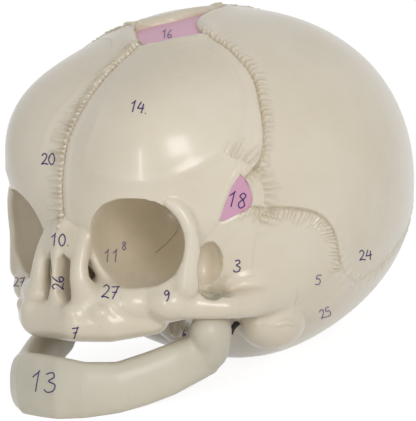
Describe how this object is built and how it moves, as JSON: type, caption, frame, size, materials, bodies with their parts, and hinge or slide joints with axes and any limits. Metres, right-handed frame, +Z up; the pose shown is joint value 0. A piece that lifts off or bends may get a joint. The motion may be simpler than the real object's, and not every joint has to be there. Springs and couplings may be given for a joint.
{
  "type": "fetal skull model",
  "caption": "Life-size fetal skull model for teaching: egg-shaped cranium of separate bones with membrane-covered fontanelles, open orbits, and a lower jaw hinged below the ears.",
  "frame": {"origin": "middle of the bottom of the bounding box, on the surface that the skull stands on", "axes": "+Y from the face to the back of the head, +X to the skull's own left, +Z up"},
  "size_m": [0.0912, 0.1364, 0.093],
  "materials": {
    "bone_plastic": "glossy ivory, like varnished bone",
    "jaw_plastic": "satin ivory, slightly greyer than the cranium",
    "membrane": "pink paint over the ivory plastic",
    "elastic": "matt black"
  },
  "bodies": {
    "cranium": {"anterior_fontanelle": "membrane", "posterior_fontanelle": "membrane", "ethmoid_bone": "bone_plastic", "vomer": "bone_plastic", "sphenoid_body": "bone_plastic", "occipital_basilar_part": "bone_plastic", "occipital_squama": "bone_plastic", "sphenoidal_fontanelle_left": "membrane", "sphenoidal_fontanelle_right": "membrane", "frontal_bone_left": "bone_plastic", "frontal_bone_right": "bone_plastic", "parietal_bone_left": "bone_plastic", "parietal_bone_right": "bone_plastic", "maxilla_left": "bone_plastic", "maxilla_right": "bone_plastic", "nasal_bone_left": "bone_plastic", "nasal_bone_right": "bone_plastic", "lacrimal_bone_left": "bone_plastic", "lacrimal_bone_right": "bone_plastic", "zygomatic_bone_left": "bone_plastic", "zygomatic_bone_right": "bone_plastic", "temporal_squama_left": "bone_plastic", "temporal_squama_right": "bone_plastic", "petromastoid_part_left": "bone_plastic", "petromastoid_part_right": "bone_plastic", "tympanic_ring_left": "bone_plastic", "tympanic_ring_right": "bone_plastic", "sphenoid_wing_left": "bone_plastic", "sphenoid_wing_right": "bone_plastic", "occipital_lateral_part_left": "bone_plastic", "occipital_lateral_part_right": "bone_plastic", "jaw_tie_left": "elastic", "jaw_tie_right": "elastic"},
    "jaw": {"mandible": "jaw_plastic"}
  },
  "joints": [
    {"name": "jaw_hinge", "type": "hinge", "parent": "cranium", "child": "jaw", "pos_m": [0, -0.03182, 0.01612], "axis": [1, 0, 0], "range_deg": [-7, 22]}
  ]
}
